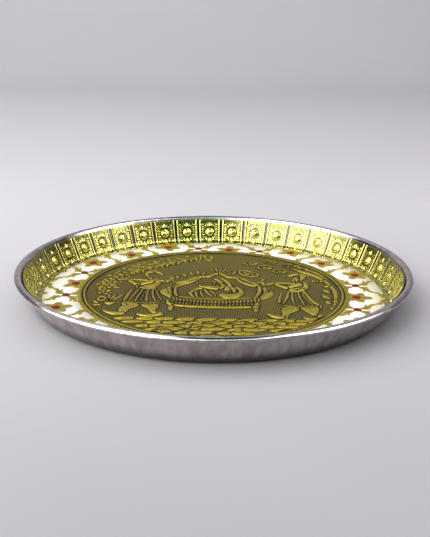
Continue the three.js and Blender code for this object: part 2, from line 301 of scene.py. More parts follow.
# The floor sheet: a gilt sheet over the whole floor, pressed up into flowers and leafy knots on a
# square lattice. Only the raised lattice shows, between the medallion and the wall.
sheet_top = 2.0
enamel_top = 3.0
lattice_top = 3.3
ring_inner = 100.0
ring_outer = 131.2
lattice_pitch = 27.3
lattice_grid = 0.5
lead_lobe = (11.0, 8.0)
side_lobe = (10.2, 7.4)
edge_soft = 0.8
drop_radius = 2.5


class Relief:
    """A pressed sheet seen from above, as a grid of heights in millimetres. gilt is 1 where the
    dark antiquing was wiped off the raised metal, 0 on the plain ground and -1 where it lies
    thick, in the moat of some width round each form and in grooves. That dark is partly
    painted shade, round and between the raised forms."""

    def __init__(self, x, y, moat=0):
        self.x = x
        self.y = y
        self.moat = moat
        self.height = np.zeros(x.shape)
        self.gilt = np.zeros(x.shape)
        self.corner = (x.min(), y.min())
        self.step = (x[0, 1] - x[0, 0], y[1, 0] - y[0, 0])

    def window(self, points, margin):
        """The part of the grid round some points, or None where they lie off the grid."""
        cuts = []
        for axis in (1, 0):
            values = [point[axis] for point in points]
            low = int((min(values) - margin - self.corner[axis]) / self.step[axis])
            high = int((max(values) + margin - self.corner[axis]) / self.step[axis]) + 2
            low, high = max(0, low), min(self.x.shape[0 if axis else 1], high)
            if high <= low:
                return None
            cuts.append(slice(low, high))
        return tuple(cuts)

    def along(self, points, widths, cut):
        """How far inside a line with these widths each grid point lies, or less than 0 outside."""
        x, y = self.x[cut], self.y[cut]
        inside = np.full(x.shape, -1e3)
        for (ax, ay), (bx, by), wa, wb in zip(points, points[1:], widths, widths[1:]):
            dx, dy = bx - ax, by - ay
            share = np.clip(((x - ax) * dx + (y - ay) * dy) / max(dx * dx + dy * dy, 1e-9), 0, 1)
            gap = np.hypot(x - ax - share * dx, y - ay - share * dy)
            inside = np.maximum(inside, (wa + (wb - wa) * share) / 2 - gap)
        return inside

    def stroke(self, points, widths, lift, soft=0.8, bend=True):
        """Raises a line. A lift below 0 cuts a groove and paints it dark, partly as painted shade."""
        if isinstance(widths, (int, float)):
            widths = [widths] * len(points)
        if bend and len(points) > 2:
            points, widths = bent(points, widths)
        cut = self.window(points, max(widths) / 2 + self.moat + 1)
        if cut:
            self.press(cut, self.along(points, widths, cut), lift, soft)

    def patch(self, points, lift, soft=0.8, bend=False):
        """Raises a closed outline."""
        if bend:
            points = bent(points + points[:3], [0] * (len(points) + 3))[0][6:-6]
        cut = self.window(points, self.moat + 1)
        if cut is None:
            return
        x, y = self.x[cut], self.y[cut]
        within = np.zeros(x.shape, bool)
        for (ax, ay), (bx, by) in zip(points, points[1:] + points[:1]):
            crosses = (ay > y) != (by > y)
            within ^= crosses & (x < ax + (bx - ax) * (y - ay) / (by - ay if by != ay else 1e-9))
        gap = -self.along(points + points[:1], [0] * (len(points) + 1), cut)
        self.press(cut, np.where(within, gap, -gap), lift, soft)

    def dot(self, x, y, across, lift, soft=None):
        self.stroke([(x, y), (x + 1e-3, y)], across, lift, soft or across / 2)

    def press(self, cut, inside, lift, soft):
        rise = np.clip(inside / soft, 0, 1)
        rounded = rise * (2 - rise)
        shown = np.clip(inside / 0.35, -1, 1)
        height, gilt = self.height[cut], self.gilt[cut]
        # A groove is painted dark: dark antiquing, and partly painted shade in the groove.
        if lift < 0:
            self.height[cut] = height + lift * rounded
            self.gilt[cut] = np.minimum(gilt, -shown)
            return
        # The moat round a raised form is cut a little lower and painted dark: dark antiquing, and partly
        # painted shade round the form.
        if self.moat:
            near = np.where(inside < 0, np.clip(1 + inside / self.moat, 0, 1), 0)
            height = height * (1 - 0.7 * near)
            gilt = np.minimum(gilt, np.where(near > 0, -np.minimum(3 * near, 1), 1))
        self.height[cut] = np.maximum(height, lift * rounded)
        self.gilt[cut] = np.where(shown > -1, np.maximum(gilt, shown), gilt)


def bent(points, widths, steps=6):
    """A smooth line through some points, with its widths."""
    line = np.array([(x, y, w) for (x, y), w in zip(points, widths)], float)
    padded = np.vstack([2 * line[0] - line[1], line, 2 * line[-1] - line[-2]])
    found = []
    for p0, p1, p2, p3 in zip(padded, padded[1:], padded[2:], padded[3:]):
        for t in np.arange(steps) / steps:
            found.append(0.5 * (2 * p1 + (p2 - p0) * t + (2 * p0 - 5 * p1 + 4 * p2 - p3) * t ** 2
                                + (3 * p1 - p0 - 3 * p2 + p3) * t ** 3))
    found.append(line[-1])
    return [(x, y) for x, y, _ in found], [max(0, w) for *_, w in found]


def square_grid(reach, step):
    line = np.arange(-reach, reach + step / 2, step)
    return np.meshgrid(line, line)


def disc_faces(x, y, inner, outer):
    """The grid's faces between two radii, and its points with the edges drawn onto the circles."""
    middle = np.hypot(
        x[:-1, :-1] + (x[0, 1] - x[0, 0]) / 2, y[:-1, :-1] + (y[1, 0] - y[0, 0]) / 2)
    kept = (middle < outer) & (middle > inner)
    number = np.arange(x.size).reshape(x.shape)
    faces = np.stack([number[:-1, :-1], number[:-1, 1:], number[1:, 1:], number[1:, :-1]], -1)[kept]
    uses = np.bincount(faces.ravel(), minlength=x.size).reshape(x.shape)
    far = np.hypot(x, y)
    edge = (uses > 0) & (uses < 4)
    goal = np.where(far > (inner + outer) / 2, outer, inner)
    scale = np.where(edge, goal / np.maximum(far, 1e-6), 1)
    return x * scale, y * scale, faces


def pressed(name, relief, x, y, faces, base, material, flat_map):
    """An object from a relief: only the points that its faces use, with the gilt share on each and
    a map of the piece's own plan for its colours."""
    used, faces = np.unique(faces, return_inverse=True)
    faces = faces.reshape(-1, 4)
    points = np.stack([x.ravel(), y.ravel(), base + relief.height.ravel()], -1)[used]
    made = skin(name, points, faces, material)
    gilt = made.data.attributes.new("gilt", "FLOAT", "POINT")
    gilt.data.foreach_set("value", relief.gilt.ravel()[used].astype(np.float32))
    plan = made.data.uv_layers.new(name="OFBake")
    corners = points[faces.ravel(), :2] / (2 * flat_map) + 0.5
    plan.uv.foreach_set("vector", corners.astype(np.float32).ravel())
    return made


def lattice_flower(relief, x, y):
    """Five pointed lobes round a red seat, the first one the longest, with small sepals between."""
    lead = atan2(abs(y), abs(x))
    top = lattice_top - sheet_top
    for turn in (0, 66, -66, 132, -132):
        angle = lead + radians(turn)
        length, width = side_lobe if turn else lead_lobe
        spine = [(x + length * share * cos(angle), y + length * share * sin(angle))
                 for share in (0.1, 0.45, 0.76, 1)]
        relief.stroke(spine, [4.4, 0.94 * width, width, 0.5 * width], top, edge_soft)
    for turn in (33, -33, 99, -99, 180):
        angle = lead + radians(turn)
        sepal = [(x + r * cos(angle), y + r * sin(angle)) for r in (1.5, 8.4)]
        relief.stroke(sepal, [3.4, 1.4], top, edge_soft)
    for turn in (0, 66, -66, 132, -132):
        angle = lead + radians(turn)
        vein = [(x + r * cos(angle), y + r * sin(angle)) for r in (3.4, 8.4)]
        relief.stroke(vein, [0.9, 0.5], -0.12, 0.4)
    relief.dot(x, y, 2.72 * drop_radius + 1.4, top, edge_soft)


def lattice_knot(relief, x, y):
    """Four leafy arms along the diagonals, each followed by a second leaf that meets the next knot's."""
    top = lattice_top - sheet_top
    for quarter in range(4):
        angle = radians(45 + 90 * quarter)
        side = 1 if quarter % 2 else -1

        def at(along, across):
            return (x + along * cos(angle) - side * across * sin(angle),
                    y + along * sin(angle) + side * across * cos(angle))
        arm = [at(0, 0), at(3.6, 0), at(7.4, 0.8), at(10.6, 0.9), at(13.4, 0)]
        relief.stroke(arm, [2.6, 2.9, 5.6, 5.4, 2.8], top, edge_soft)
        relief.stroke([at(5.6, 1.2), at(7.8, 4.6)], [4.2, 2.6], top, edge_soft)
        relief.stroke([at(13.0, 0), at(15.8, -0.7), at(19.4, 0)], [2.8, 4.8, 2.8], top, edge_soft)
        relief.stroke([at(10.6, -1.0), at(13.0, -4.0)], [3.8, 2.4], top, edge_soft)
        relief.stroke([at(4.6, 0.3), at(8, 0.8), at(11.6, 0.6)], 0.7, -0.12, 0.3)
    relief.dot(x, y, 2.4 * drop_radius + 1.4, top, edge_soft)


lattice = Relief(*square_grid(ring_outer + 2, lattice_grid))
reach = ceil(ring_outer / lattice_pitch) + 1
for row in range(-reach, reach + 1):
    for column in range(-reach, reach + 1):
        spot = (column * lattice_pitch, row * lattice_pitch)
        if ring_inner - 25 < hypot(*spot) < ring_outer + 25:
            draw = lattice_knot if (row + column) % 2 else lattice_flower
            draw(lattice, *spot)

gilt_satin, gilt_shader, wire = finish("satin_gilt", Metallic=0.5, Coat_Weight=0.1, Coat_Roughness=0.25)
grain = wire.noise(0.9, 3)
wash_and_shade = wire.node("ShaderNodeAttribute", {"attribute_name": "gilt"}, out=2)
worn = wire.mix(tint(126, 110, 8), tint(172, 154, 24), grain.ramp(0.3, 0.7))
# The dark end of this mix colours the vein grooves and form edges: dark antiquing, and partly painted shade.
wire.join(wire.mix(tint(84, 74, 10), worn, wash_and_shade.ramp(-0.4, 0.9)), gilt_shader.inputs["Base Color"])
wire.join(0.42 + 0.16 * grain, gilt_shader.inputs["Roughness"])
wire.join(wire.bump(grain, 0.05), gilt_shader.inputs["Normal"])
sheet_x, sheet_y, sheet_faces = disc_faces(lattice.x, lattice.y, ring_inner, ring_outer)
floor_sheet = pressed(
    "gilt_floor_sheet", lattice, sheet_x, sheet_y, sheet_faces, sheet_top, gilt_satin, ring_outer)
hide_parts("floor_sheet")
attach(floor_sheet, "root")


# The white enamel: poured on the floor sheet round the raised lattice and fired, so it lies level,
# with a glassy surface that is never quite flat.
enamel, enamel_shader, wire = finish("white_enamel", Coat_Weight=0.15, Coat_Roughness=0.15)
swell = wire.noise(0.12, 2)
wire.join(wire.mix(tint(246, 243, 240), tint(253, 251, 248), swell), enamel_shader.inputs["Base Color"])
wire.join(0.36 + 0.12 * wire.noise(0.4, 3), enamel_shader.inputs["Roughness"])
wire.join(wire.bump(swell, 0.12), enamel_shader.inputs["Normal"])
enamel_ring = spin(
    "white_enamel_ring",
    [(ring_inner, sheet_top), (ring_outer, sheet_top), (ring_outer, enamel_top), (ring_inner, enamel_top)],
    round_steps, enamel)
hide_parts("white_enamel")
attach(enamel_ring, "root")


# The red enamel: a drop of clear dark red on the crown of each flower and each knot, rounded by its
# own surface as it melted.
flower_drop = 1.36
knot_drop = 1.2
drop_swell = 1.4
drop_steps = 24

red, red_shader, wire = finish("red_enamel", Roughness=0.3, Specular_IOR_Level=0.15)
depth = wire.noise(0.5, 2)
wire.join(wire.mix(tint(92, 4, 3), tint(140, 12, 6), depth), red_shader.inputs["Base Color"])
drop_names = sorted(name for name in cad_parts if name.startswith("red_enamel"))
for name in drop_names:
    low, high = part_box(name)
    x, y = 500 * (low.x + high.x), 500 * (low.y + high.y)
    top = 1000 * (high.z - low.z)
    on_flower = (round(x / lattice_pitch) + round(y / lattice_pitch)) % 2 == 0
    across = drop_radius * (flower_drop if on_flower else knot_drop)
    profile = [(0, 0)] + [
        (across * cos(a), drop_swell * top * sin(a)) for a in np.linspace(0, pi / 2, 7)]
    drop = spin(name.replace("red_enamel", "red_drop"), profile, drop_steps, red)
    drop.data.transform(Matrix.Translation((x / 1000, y / 1000, low.z)))
    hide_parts(name)
    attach(drop, "root")


# The medallion's border: the outer part of the centre pressing. Its flange laps over the enamel and
# carries a row of long beads, with a thin raised ring between two dark grooves inside them.
medallion_radius = 104.0
flange_top = 3.8
field_top = 2.8
border_inner = 95.2
bead_count = 184
bead_middle = 102.3
bead_half_width = 1.5
bead_share = 0.42
bead_rise = 0.55
columns_per_bead = 7

antique, antique_shader, wire = finish("antique_gilt", Specular_IOR_Level=0.1)
grain = wire.noise(1.3, 3, roughness=0.65)
patches = wire.noise(0.03, 2)
wash_and_shade = wire.node("ShaderNodeAttribute", {"attribute_name": "gilt"}, out=2)
place = wire.node("ShaderNodeTexCoord", out=3)
across, along = (wire.node("ShaderNodeSeparateXYZ", None, {0: place}, axis) * 1000 for axis in (0, 1))
hatch_pitch = 1.2
hatch_wave = wire.maths("SINE", (across + 0.15 * along) * (2 * pi / hatch_pitch) + 5 * grain)
hatch = hatch_wave * 0.5 * (1 - along.ramp(20, 62)) + 0.5
shown = wash_and_shade.ramp(0, 0.7)
# thick picks out moats, grooves and the gaps between forms for near-black: dark antiquing, and partly painted
# shade.
thick = (-1 * wash_and_shade).ramp(0, 0.9)
low = 0.2 - 0.1 * along.ramp(-10, 60)
ground = wire.mix(tint(26, 23, 11), tint(132, 121, 54), hatch * 0.6 + grain * 0.4 - low)
raised = wire.mix(tint(94, 82, 16), tint(178, 159, 52), grain.ramp(0.32, 0.64))
shade = wire.mix(wire.mix(ground, raised, shown), tint(10, 9, 6), thick)
wire.join(
    wire.mix(shade, tint(140, 120, 36), patches.ramp(0.45, 0.8) * 0.2), antique_shader.inputs["Base Color"])
wire.join(0.2 + 0.35 * shown, antique_shader.inputs["Metallic"])
wire.join(0.52 - 0.2 * shown + 0.14 * grain, antique_shader.inputs["Roughness"])
wire.join(wire.bump(grain + (1 - shown) * hatch, 0.12), antique_shader.inputs["Normal"])


def round_relief(name, relief, radii, levels, material):
    """An object from a relief over angle and a row of radii: the relief stands on these levels."""
    angles = relief.x[0][:-1]
    height = relief.height[:, :-1]
    points = np.stack([
        np.outer(radii, np.cos(angles)), np.outer(radii, np.sin(angles)),
        height + np.array(levels)[:, None]], -1)
    rows, columns = height.shape
    row, column = np.meshgrid(np.arange(rows - 1), np.arange(columns), indexing="ij")
    after = (column + 1) % columns
    faces = np.stack([
        row * columns + column, (row + 1) * columns + column,
        (row + 1) * columns + after, row * columns + after], -1).reshape(-1, 4)
    made = skin(name, points.reshape(-1, 3), faces, material)
    gilt = made.data.attributes.new("gilt", "FLOAT", "POINT")
    gilt.data.foreach_set("value", relief.gilt[:, :-1].ravel().astype(np.float32))
    return made


border_radii = np.concatenate([np.linspace(border_inner, medallion_radius - 0.3, 34), [medallion_radius] * 3])
border_levels = np.interp(
    border_radii, [95.2, 96.6, 97.6, 98.3, 98.9, 99.5, 100.2, 100.9, medallion_radius - 0.3],
    [field_top - 0.05, 2.9, 3.0, 3.8, 4.0, 3.8, 3.3, flange_top - 0.2, flange_top - 0.1])
border_levels[-3:] = (flange_top - 0.4, enamel_top + 0.2, enamel_top)
border_angles = np.linspace(0, 2 * pi, bead_count * columns_per_bead + 1)
border_x, border_y = np.meshgrid(border_angles, border_radii)
border = Relief(border_x, border_y)
share = (border_angles * bead_count / (2 * pi)) % 1 - 0.5
beside = (border_radii - bead_middle)[:, None] / bead_half_width
inside = 1 - np.sqrt((share[None, :] / bead_share) ** 2 + beside ** 2)
border.height = bead_rise * np.sqrt(np.clip(inside, 0, 1) * (2 - np.clip(inside, 0, 1)))
border.height[-3:] = 0
# The border's gilt share is dark in its two grooves and round and between the beads, partly painted shade
# there, and bright on the raised ring and beads.
ring_gilt = np.interp(
    border_radii, [95.2, 97.0, 97.4, 98.0, 98.4, 99.4, 99.8, 100.6, 101.0, 103.2, 103.6, 104],
    [0, 0, -1, -1, 1, 1, -0.9, -0.8, -0.6, -0.5, 0.3, 0.5])
border.gilt = np.maximum(ring_gilt[:, None] * np.ones_like(border_x), np.clip(inside * 4, -1, 1))
medallion_border = round_relief("medallion_border", border, border_radii, border_levels, antique)
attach(medallion_border, "root")


# The medallion's picture: the dished middle of the same pressing, struck in low relief. Two bearers
# walk to the left with a covered litter and its seated rider, over cobbles and between leafy stems.
picture_turn = 3
picture_top = 1.15
picture_depth = 1.7
picture_grid = 0.55
picture_moat = 1.15
canopy_moat = 0.5
cobble_moat = 1.0
picture_radius = 95.7

picture = Relief(*square_grid(picture_radius + 2, picture_grid), picture_moat)


class Drawing:
    """Draws on the picture upright, and turns each point with the pressing."""

    def __init__(self, relief):
        self.relief = relief

    def placed(self, points):
        turn = radians(picture_turn)
        return [(x * cos(turn) - y * sin(turn), x * sin(turn) + y * cos(turn)) for x, y in points]

    def line(self, points, widths=1.0, lift=0.45, soft=0.5, bend=True):
        self.relief.stroke(self.placed(points), widths, lift, soft, bend)

    def shape(self, points, lift=0.55, soft=1.2, bend=True):
        self.relief.patch(self.placed(points), lift, soft, bend)

    def dot(self, x, y, across, lift=0.55):
        (px, py), = self.placed([(x, y)])
        self.relief.dot(px, py, across, lift)

    def cut(self, points, width=0.7, depth=0.3, bend=True):
        self.relief.stroke(self.placed(points), width, -depth, 0.35, bend)


def draw_left_bearer(pen):
    """The first bearer: a turban with a long tail, a bare arm, a pleated skirt and curled shoes."""
    pen.line([(-63, -3), (-64, -14), (-64.6, -24), (-65.4, -31)], [1.6, 2.2, 2.4, 1.6], 0.6, 0.8)
    pen.line([(-58, -3), (-59.6, -16), (-61.4, -30)], [1.4, 1.4, 1.2], 0.6)
    pen.line([(-54.6, -3), (-55.8, -16), (-56.4, -30)], [1.2, 1.5, 1.3], 0.6)
    pen.line([(-50.4, -3), (-49.6, -16), (-47.8, -30)], [1.2, 1.4, 1.3], 0.6)
    pen.line([(-46.8, -2.6), (-45, -16), (-41, -30)], [1.2, 1.5, 1.3], 0.6)
    pen.line([(-44.6, -3), (-41.6, -13), (-37.6, -25)], [1.0, 1.2, 1.0], 0.5)
    pen.line([(-52.6, -14), (-52.4, -29)], 0.7, 0.3, 0.4)
    pen.line([(-65, -31.6), (-54, -33.2), (-45, -32.6), (-38, -30)], 0.9, 0.4, 0.4)
    pen.shape([(-65, -34), (-56, -34.6), (-52.4, -37.6), (-54, -42), (-58, -46.4), (-59.6, -52.4),
               (-64.4, -52.6), (-66.2, -46), (-64.6, -40)])
    pen.shape([(-51.2, -37.4), (-46, -35.6), (-38.6, -35.4), (-37.8, -42), (-39, -48), (-37, -53),
               (-41.4, -52.4), (-45, -45)])
    pen.cut([(-63.4, -35.6), (-61.6, -38), (-60.4, -41)], 0.9)
    pen.cut([(-64.6, -41.6), (-61.4, -43.4)], 0.8)
    pen.cut([(-48.8, -38.6), (-45, -37.6), (-42, -39)], 0.7)
    pen.line([(-62.4, -56), (-67.4, -57.2), (-73, -54.6), (-77.4, -50.2)], [5.0, 4.8, 3.2, 1.0], 0.64, 1.3)
    pen.line([(-34.6, -54.6), (-38.4, -57.6), (-45, -59.4), (-50, -57.2), (-51.2, -53.6)],
             [4.6, 4.8, 3.6, 2.4, 0.8], 0.64, 1.3)
    pen.line([(-47.4, 23.6), (-45.2, 16.6), (-45.8, 9.8), (-49.4, 4.8), (-54.2, 3.2)],
             [2.0, 4.2, 5.4, 7.4, 5.0], 0.66, 1.8)
    pen.line([(-57.4, 1.2), (-51, -1), (-45.4, 0.6)], 1.5, 0.5)
    pen.line([(-51, 15.8), (-55.6, 11.6), (-60.2, 7)], [5.4, 4.8, 3.6], 0.68, 1.5)
    pen.line([(-60.6, 7), (-65.6, 13.4), (-72.4, 23.4)], [3.6, 3.0, 1.8], 0.68, 1.1)
    pen.line([(-60.4, 4.6), (-59.4, -0.6)], [2.0, 0.8], 0.5)
    pen.line([(-54, 18.6), (-63, 19.8), (-70, 19)], [2.0, 2.0, 1.4], 0.55, 0.8)
    pen.dot(-53.4, 27.4, 4.6, 0.6)
    pen.line([(-52.6, 25), (-50.8, 21.6)], [2.6, 3.2], 0.5, 1.0)
    pen.line([(-55.6, 30.6), (-57.2, 35.6), (-54.6, 39.6), (-50.4, 39.4)], [2.2, 2.8, 3.2, 2.0], 0.64, 1.0)
    pen.line([(-51.6, 41), (-47, 38.6), (-43.8, 33.4)], [2.0, 2.4, 1.8], 0.6, 0.8)
    pen.line([(-55.6, 41.6), (-52.6, 44.6), (-49, 44)], [1.0, 1.4, 0.7], 0.45)


def draw_right_bearer(pen):
    """The second bearer: a broad turban, a beard, a pleated skirt and curled shoes."""
    pen.line([(52.6, 0), (51.2, -12), (50.4, -22.6)], [1.0, 1.5, 1.8], 0.6)
    pen.line([(57.6, 0), (56.4, -12), (53.6, -25)], [1.4, 1.8, 1.2], 0.6)
    pen.line([(60.6, 0.4), (60.6, -14), (62, -27.4)], [1.2, 1.3, 1.2], 0.6)
    pen.line([(65.2, 1.6), (66.2, -10), (69.4, -28)], [1.2, 1.4, 1.2], 0.6)
    pen.line([(69.2, 4), (72, -7), (76, -19), (81.4, -27)], [2.2, 3.2, 3.2, 1.4], 0.64, 1.0)
    pen.line([(68, -2), (71, -14), (75.6, -26)], [0.8, 1.1, 0.9], 0.45)
    pen.line([(54, -28.6), (65, -29.2), (78.6, -28.2)], 0.8, 0.4, 0.4)
    pen.line([(81.6, -26.4), (80.8, -33)], 1.2, 0.5)
    pen.shape([(54, -32.6), (60, -30.8), (64.8, -33.6), (64, -38.4), (59.4, -44), (57.2, -50),
               (56.4, -57), (51.6, -56.6), (53.2, -46), (52.4, -40)])
    pen.shape([(66.4, -32.8), (71, -31.6), (79, -31), (79.4, -38), (77.2, -46), (74.2, -46.4), (70, -40)])
    pen.shape([(79.6, -45.6), (84.4, -50.6), (81.4, -55.6), (76.2, -58), (77.6, -51)])
    pen.cut([(55, -33.4), (57.4, -36.4), (60.4, -36)], 0.9)
    pen.cut([(53.4, -38.6), (55.6, -41)], 0.8)
    pen.cut([(69, -33.6), (73.4, -34.6), (77, -33)], 0.8)
    pen.line([(52.4, -54.6), (46.8, -52.4), (42, -47.8)], [4.6, 4.2, 1.2], 0.64, 1.2)
    pen.line([(78, -56.4), (72.4, -56.2), (67.8, -52)], [4.4, 3.8, 1.0], 0.64, 1.2)
    pen.line([(70, 27), (71.6, 20), (70.6, 12), (66, 8), (59.6, 7)], [1.6, 3.8, 4.8, 6.8, 3.6], 0.66, 1.6)
    pen.line([(69.6, 8), (64, 3.4), (58, 3)], [2.2, 2.6, 1.4], 0.55, 0.8)
    pen.line([(66.2, 20), (61.4, 16.4), (56, 10.8)], [5.0, 4.8, 3.2], 0.68, 1.4)
    pen.line([(55.6, 10.8), (50.2, 16), (45, 24.4)], [3.2, 2.6, 1.8], 0.68, 1.0)
    pen.line([(61.6, 21.8), (54, 22.4), (47, 21.6)], [2.2, 2.2, 1.4], 0.55, 0.8)
    pen.line([(63.8, 33.6), (63.4, 29.4)], [4.6, 4.2], 0.64, 1.2)
    pen.line([(61.4, 28.4), (62.4, 26)], [2.2, 0.8], 0.5)
    pen.line([(58, 40.4), (62.6, 43.6), (68, 44.8), (72.8, 41.6)], [2.0, 3.0, 5.2, 3.4], 0.66, 1.2)
    pen.line([(69.4, 43), (69.4, 37), (67.8, 31.4)], [5.2, 3.8, 1.6], 0.62, 1.2)
    pen.cut([(62, 42), (66.6, 42.6), (70.4, 40.4)], 0.7)


def draw_litter(pen):
    """The litter: an ogee canopy of doubled ropes, side curtains, two beaded rows, a rail and feet."""
    pen.line([(1.8, 42.6), (-2.6, 38.4), (-6.4, 32.2), (-12.6, 31.2), (-17, 28.2)],
             [1.4, 2.2, 2.2, 1.8, 1.8], 0.68, 0.8)
    pen.line([(1.8, 42.6), (5.4, 37.6), (9.2, 32.4), (15.2, 31.2), (20.4, 30.2)],
             [1.4, 2.2, 2.2, 1.8, 1.6], 0.68, 0.8)
    pen.line([(-16.4, 29), (-22.6, 20.4), (-28, 15.4), (-32.4, 14.2)], [2.2, 2.4, 2.2, 1.4], 0.66, 0.9)
    pen.line([(-13.4, 27.6), (-19, 18), (-26, 11.4), (-29.2, 6), (-29.4, -3), (-28.4, -10), (-26.2, -16)],
             [1.8, 2.4, 2.6, 2.6, 2.2, 2.4, 1.8], 0.66, 0.9)
    pen.line([(20.4, 30.2), (26, 24), (33.2, 15)], [1.8, 2.2, 2.0], 0.66, 0.8)
    pen.line([(16.6, 28.4), (20.4, 21.4), (26.6, 14.8), (32.6, 11.8)], [1.8, 2.4, 2.4, 1.8], 0.66, 0.8)
    pen.line([(34.8, 11.6), (35.6, 3), (34.6, -6), (31.8, -16)], [2.6, 2.8, 2.6, 1.6], 0.64, 0.9)
    pen.line([(23.6, 23.4), (28.4, 17.4)], 0.9, 0.4)
    pen.shape([(-34.6, 6), (-37.6, 1), (-40.8, -4.6), (-38.4, -12), (-31, -19.6), (-31.6, -10), (-32.8, -1)],
              0.56, 1.5)
    pen.cut([(-36.4, 0), (-34.6, -6), (-33.4, -13)], 0.7, 0.2)
    pen.shape([(38, 10.6), (42.4, 6), (46.4, -3.4), (44.2, -10.4), (38, -17.6), (36.6, -12), (38.8, -2)],
              0.56, 1.5)
    pen.cut([(42, 3), (42.6, 0), (41.6, -2.4)], 1.7, 0.4)
    pen.cut([(40.4, 6), (39.6, -4), (38.6, -12)], 0.6, 0.2)
    pen.line([(33, 20.6), (36.4, 22.6), (38.8, 17.2)], [1.2, 1.6, 3.6], 0.66, 0.8)
    pen.line([(-33, 20), (-35.4, 21.6), (-38.4, 17.8)], [1.2, 1.6, 3.6], 0.66, 0.8)
    pen.line([(-32.4, 14.6), (-31.4, 20.4)], [1.4, 0.7], 0.5)
    pen.line([(-41, 18.2), (-46, 20), (-52, 19.4)], [2.4, 2.0, 1.6], 0.5, 0.8)
    pen.line([(-70, 20.4), (-78, 19)], [2.6, 1.8], 0.5, 0.8)
    pen.line([(41, 18), (46, 21.4)], [2.4, 2.0], 0.5, 0.8)
    pen.line([(-25, -17.2), (-12, -19.4), (4, -20), (18, -18), (29, -15.4)], 1.3, 0.45)
    pen.line([(-28, -25.2), (-12, -28.4), (5, -29.2), (20, -26.6), (33, -22.6)], 0.9, 0.4, 0.4)
    pen.line([(-32.6, -26), (-31.4, -32), (-27, -35.6), (-18, -37.4), (-4, -38), (12, -37.4), (29, -35.4)],
             [2.0, 3.0, 3.0, 3.0, 3.0, 2.8, 2.4], 0.66, 1.2)
    beads = 25
    for bead_number in range(beads):
        share = bead_number / (beads - 1)
        x = -28.8 + 64 * share
        sag = 4 * share * (1 - share)
        high = -20.4 - 6.2 * sag + 2.2 * share
        pen.line([(x, high), (x + 0.5, high - 3.4)], [1.5, 1.1], 0.66, 0.6, False)
        low = -27.4 - 5.2 * sag + 2.2 * share
        pen.line([(x, low), (x + 0.8, low - 3.2)], [1.1, 0.9], 0.55, 0.5, False)
    pen.line([(-28.6, -38), (-28.6, -42.4), (-28.4, -46.6)], [3.2, 4.2, 1.0], 0.62, 1.2)
    pen.line([(34.4, -27), (34.2, -31)], [2.6, 4.6], 0.6, 1.0)
    pen.line([(33.6, -34.6), (33.8, -38.4)], [4.8, 3.0], 0.62, 1.0)
    pen.line([(34, -40.6), (34, -45)], [3.6, 1.0], 0.62, 1.0)
    for x in (-1, 2, 5):
        pen.line([(2 + 0.4 * (x - 2), 45), (x, 50.4), (2 + 1.5 * (x - 2), 57)], [1.0, 1.7, 0.6], 0.42)
    pen.line([(-3.4, 47), (-7, 52)], [1.3, 0.6], 0.4)
    pen.line([(7.4, 47), (11.2, 51.6)], [1.3, 0.6], 0.4)


def draw_rider(pen):
    """The rider, seated and bowed under a long shawl, with both hands held out over bent knees."""
    pen.line([(16.8, 9.4), (20.6, 3.6), (21.6, -3), (18.6, -10), (12.4, -13.6), (7, -10)],
             [1.6, 3.2, 4.2, 6.6, 8.6, 4.6], 0.66, 1.8)
    pen.line([(10.4, 9.6), (10.4, 3)], [4.0, 5.0], 0.58, 1.6)
    pen.line([(12.8, 9), (15.6, 3.6), (16, -2)], [2.6, 3.2, 2.2], 0.62, 1.0)
    pen.line([(4.2, 28.6), (8.6, 22.6), (11.4, 15), (13, 8.6)], [1.8, 3.0, 3.0, 2.4], 0.66, 1.2)
    pen.line([(-0.8, 26.8), (1.8, 24.4), (4.4, 19.6), (5.6, 15)], [2.0, 3.0, 3.2, 2.0], 0.62, 1.1)
    pen.line([(-1.8, 22), (0, 17.6)], [1.4, 1.0], 0.5)
    pen.line([(5.6, 15), (6.8, 9.4), (2, 3.2)], [2.4, 3.0, 2.6], 0.62, 1.1)
    pen.line([(2, 3.2), (-4, 4.6), (-11.6, 8.6)], [2.8, 2.4, 1.8], 0.66, 1.0)
    pen.line([(3.4, 7.4), (-3.4, 8.4), (-7, 10.4)], [1.6, 1.6, 1.2], 0.5)
    for x, lean in ((-11.4, -0.6), (-8.4, 0.6), (-4, 1.2), (-1.4, 1.6)):
        pen.line([(x, 10.6), (x + lean, 15.4)], [1.1, 0.7], 0.5)
    pen.line([(-8.6, 2.4), (-12.2, 3.2), (-15, -1.8), (-17.4, -8), (-14.4, -16)],
             [1.6, 2.8, 2.6, 2.8, 1.8], 0.64, 1.0)
    pen.line([(-7.2, 1.4), (-4.6, -5.6), (-0.6, -13.6)], [1.4, 1.8, 1.2], 0.58)
    pen.line([(-13.6, -4.6), (-12.4, -10.6), (-11.2, -16.4)], [1.2, 1.8, 1.2], 0.55)
    pen.line([(-9.8, -2.4), (-8.6, -9.4), (-6.4, -16)], [1.0, 1.5, 1.0], 0.5)
    pen.line([(-2.8, -1), (0.8, -6.6), (2.4, -13)], [1.2, 1.4, 0.9], 0.5)
    pen.cut([(12, -2.6), (14.4, -4.6)], 1.6, 0.4)
    pen.cut([(9.6, 26.4), (10.6, 20.6)], 0.5, 0.2)


def leaf(pen, x, y, angle, length, width, lift=0.55):
    """A pointed leaf with a cut rib, from its foot."""
    a = radians(angle)
    tip = (x + length * cos(a), y + length * sin(a))
    middle = (x + 0.45 * length * cos(a), y + 0.45 * length * sin(a))
    pen.line([(x, y), middle, tip], [0.7, width, 0.3], lift, width * 0.4)
    if width > 3.2:
        pen.cut([middle, (x + 0.85 * length * cos(a), y + 0.85 * length * sin(a))], 0.4, 0.16)


def polar(far, angle):
    return far * cos(radians(angle)), far * sin(radians(angle))


